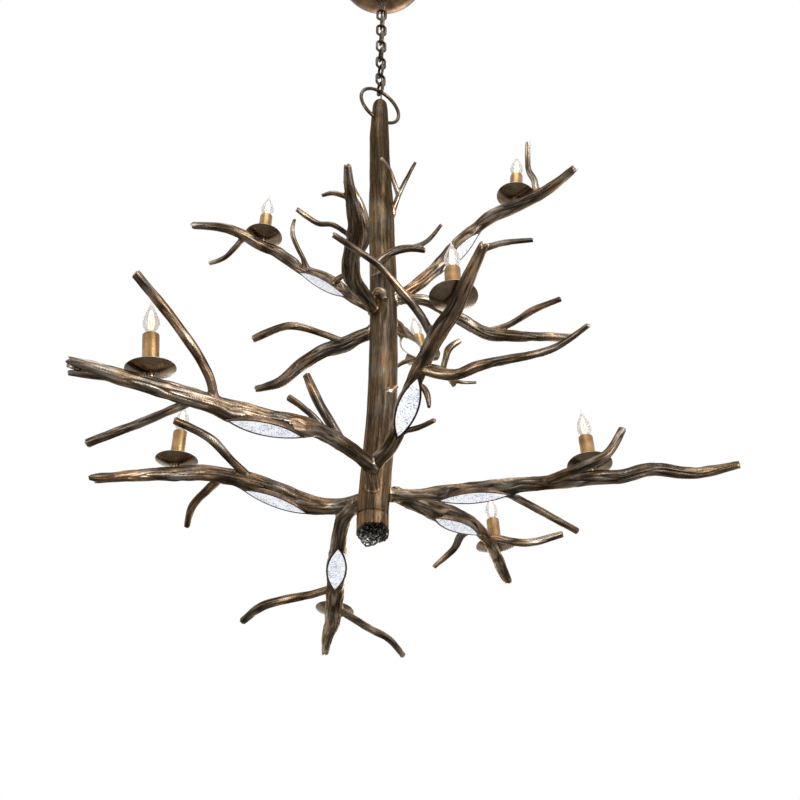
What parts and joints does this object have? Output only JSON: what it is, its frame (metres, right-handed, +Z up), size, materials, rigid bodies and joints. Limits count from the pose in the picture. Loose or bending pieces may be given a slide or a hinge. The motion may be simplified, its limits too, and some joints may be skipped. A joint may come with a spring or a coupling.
{
  "type": "branch chandelier",
  "caption": "Hanging chandelier like a bare tree: trunk on a chain and ring, forked limbs carrying candle lights and lit glass leaves.",
  "frame": {"origin": "centre of the canopy in the plane of the ceiling, midway between the two slots of the mounting strap", "axes": "+Z up into the ceiling, the chandelier hangs along -Z; -Y towards the viewer of the picture, +X to that viewer's right"},
  "size_m": [1.4547, 1.2185, 2.096],
  "materials": {
    "bark_bronze": "hand-hammered dark bronze",
    "warm_bronze": "rubbed bronze",
    "dark_chain": "dark bronze",
    "plated_steel": "zinc plated",
    "brass": "satin",
    "candle_bronze": "brushed light bronze",
    "black_plastic": "moulded",
    "white_plastic": "moulded",
    "cord_cover": "copper-coloured sleeve",
    "lamp_glass": "clear",
    "leaf_glass": "seeded"
  },
  "bodies": {
    "ceiling_fitting": {"ceiling_canopy": "warm_bronze", "mounting_strap": "plated_steel", "threaded_nipple": "brass", "strap_nut": "plated_steel", "canopy_loop": "dark_chain", "leaf_driver": "white_plastic", "cord_bushing": "black_plastic", "supply_cord": "cord_cover"},
    "link_1": {"chain_link_1": "dark_chain"},
    "link_2": {"chain_link_2": "dark_chain"},
    "link_3": {"chain_link_3": "dark_chain"},
    "link_4": {"chain_link_4": "dark_chain"},
    "link_5": {"chain_link_5": "dark_chain"},
    "link_6": {"chain_link_6": "dark_chain"},
    "link_7": {"chain_link_7": "dark_chain"},
    "link_8": {"chain_link_8": "dark_chain"},
    "link_9": {"chain_link_9": "dark_chain"},
    "link_10": {"chain_link_10": "dark_chain"},
    "link_11": {"chain_link_11": "dark_chain"},
    "link_12": {"chain_link_12": "dark_chain"},
    "link_13": {"chain_link_13": "dark_chain"},
    "ring": {"hanging_ring": "warm_bronze"},
    "chandelier": {"trunk": "bark_bronze", "foot_collar": "bark_bronze", "trunk_forked_twig": "bark_bronze", "trunk_front_branch": "bark_bronze", "trunk_front_stub": "bark_bronze", "trunk_side_spur": "bark_bronze", "lower_limb_front": "bark_bronze", "lower_limb_left_front": "bark_bronze", "lower_limb_left": "bark_bronze", "lower_limb_right": "bark_bronze", "lower_limb_right_back": "bark_bronze", "lower_limb_back": "bark_bronze", "upper_limb_left": "bark_bronze", "upper_limb_right_front": "bark_bronze", "upper_limb_back": "bark_bronze", "upper_limb_front": "bark_bronze", "upper_limb_right": "bark_bronze", "upper_limb_left_back": "bark_bronze", "drip_pan_1": "warm_bronze", "drip_pan_2": "warm_bronze", "drip_pan_3": "warm_bronze", "drip_pan_4": "warm_bronze", "drip_pan_5": "warm_bronze", "drip_pan_6": "warm_bronze", "drip_pan_7": "warm_bronze", "drip_pan_8": "warm_bronze", "drip_pan_9": "warm_bronze", "candle_bosses": "warm_bronze", "candle_studs": "brass", "pan_nuts": "brass", "lamp_sockets": "black_plastic", "candle_covers": "candle_bronze", "cover_screws": "dark_chain", "bulb_caps": "brass", "bulb_glass": "lamp_glass", "leaf_housings": "bark_bronze", "leaf_glass": "leaf_glass", "leaf_light_strips": "white_plastic"}
  },
  "joints": [
    {"name": "chain_joint_1", "type": "hinge", "parent": "ceiling_fitting", "child": "link_1", "pos_m": [0, 0, -0.084], "axis": [-0.9851, 0.1719, 0], "range_deg": [-8, 8], "deforming": ["supply_cord"]},
    {"name": "chain_joint_2", "type": "hinge", "parent": "link_1", "child": "link_2", "pos_m": [0, 0, -0.1252], "axis": [0.1149, 0.9934, 0], "range_deg": [-8, 8]},
    {"name": "chain_joint_3", "type": "hinge", "parent": "link_2", "child": "link_3", "pos_m": [0, 0, -0.1659], "axis": [-0.9983, 0.0576, 0], "range_deg": [-8, 8]},
    {"name": "chain_joint_4", "type": "hinge", "parent": "link_3", "child": "link_4", "pos_m": [0, 0, -0.2066], "axis": [0, 1, 0], "range_deg": [-8, 8]},
    {"name": "chain_joint_5", "type": "hinge", "parent": "link_4", "child": "link_5", "pos_m": [0, 0, -0.2473], "axis": [0.9983, 0.0576, 0], "range_deg": [-8, 8]},
    {"name": "chain_joint_6", "type": "hinge", "parent": "link_5", "child": "link_6", "pos_m": [0, 0, -0.288], "axis": [-0.1149, 0.9934, 0], "range_deg": [-8, 8]},
    {"name": "chain_joint_7", "type": "hinge", "parent": "link_6", "child": "link_7", "pos_m": [0, 0, -0.3287], "axis": [0.9851, 0.1719, 0], "range_deg": [-8, 8]},
    {"name": "chain_joint_8", "type": "hinge", "parent": "link_7", "child": "link_8", "pos_m": [0, 0, -0.3694], "axis": [-0.2284, 0.9736, 0], "range_deg": [-8, 8]},
    {"name": "chain_joint_9", "type": "hinge", "parent": "link_8", "child": "link_9", "pos_m": [0, 0, -0.4101], "axis": [0.9588, 0.284, 0], "range_deg": [-8, 8]},
    {"name": "chain_joint_10", "type": "hinge", "parent": "link_9", "child": "link_10", "pos_m": [0, 0, -0.4508], "axis": [-0.3387, 0.9409, 0], "range_deg": [-8, 8]},
    {"name": "chain_joint_11", "type": "hinge", "parent": "link_10", "child": "link_11", "pos_m": [0, 0, -0.4915], "axis": [0.9198, 0.3923, 0], "range_deg": [-8, 8]},
    {"name": "chain_joint_12", "type": "hinge", "parent": "link_11", "child": "link_12", "pos_m": [0, 0, -0.5322], "axis": [-0.4446, 0.8957, 0], "range_deg": [-8, 8]},
    {"name": "chain_joint_13", "type": "hinge", "parent": "link_12", "child": "link_13", "pos_m": [0, 0, -0.5729], "axis": [0.8686, 0.4955, 0], "range_deg": [-8, 8]},
    {"name": "ring_on_chain", "type": "hinge", "parent": "link_13", "child": "ring", "pos_m": [0, 0, -0.6136], "axis": [-0.5446, 0.8387, 0], "range_deg": [-8, 8]},
    {"name": "trunk_on_ring", "type": "hinge", "parent": "ring", "child": "chandelier", "pos_m": [0, 0, -0.72936], "axis": [0.8387, 0.5446, 0], "range_deg": [-8, 8]}
  ]
}
